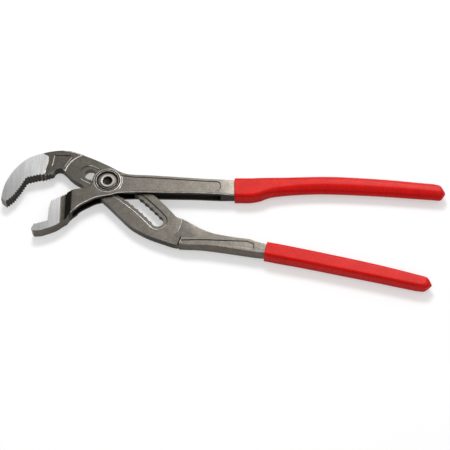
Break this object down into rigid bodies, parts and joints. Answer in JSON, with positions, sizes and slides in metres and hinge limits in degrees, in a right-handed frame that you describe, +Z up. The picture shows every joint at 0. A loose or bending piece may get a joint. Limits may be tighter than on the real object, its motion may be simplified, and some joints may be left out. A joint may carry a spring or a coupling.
{
  "type": "pipe pliers",
  "caption": "Box joint pipe pliers: a slotted arm with a curved toothed jaw slides and swings on a flatted pin in a windowed arm, with dipped sleeves on the handles.",
  "frame": {"origin": "on the pivot pin's axis, in the plane the tool lies on, which is the underside of the pin's foot, the boss and the upper sleeve's thick end", "axes": "+X from the jaws along the upper handle to its end, +Y across the handles from the lower handle to the upper one, +Z up through the flat of the tool along the pivot axis"},
  "size_m": [0.4106, 0.1452, 0.0154],
  "materials": {
    "forged_steel": "satin dark forged steel with bright ground jaw faces",
    "pin_steel": "turned, satin",
    "dipped_sleeve": "semi-gloss red dipped coating"
  },
  "bodies": {
    "box_side": {"box_arm": "forged_steel", "upper_grip": "dipped_sleeve"},
    "washer_carrier": {"pin_washer": "pin_steel"},
    "pin_carrier": {"pivot_pin": "pin_steel"},
    "slotted_side": {"slotted_arm": "forged_steel", "lower_grip": "dipped_sleeve"}
  },
  "joints": [
    {"name": "jaw_swing", "type": "hinge", "parent": "box_side", "child": "washer_carrier", "pos_m": [0, 0, 0.0077], "axis": [0, 0, -1], "range_deg": [-11, 24]},
    {"name": "pin_turn", "type": "hinge", "parent": "washer_carrier", "child": "pin_carrier", "pos_m": [0, 0, 0.0077], "axis": [0, 0, 1], "range_deg": [-25.2, 7.2]},
    {"name": "slot_shift", "type": "hinge", "parent": "pin_carrier", "child": "slotted_side", "pos_m": [-0.10598, -0.16961, 0.0077], "axis": [0, 0, 1], "range_deg": [-3.6, 12.6]}
  ],
  "couplings": [
    {"joint": "pin_turn", "follows": "slot_shift", "ratio": -2}
  ]
}
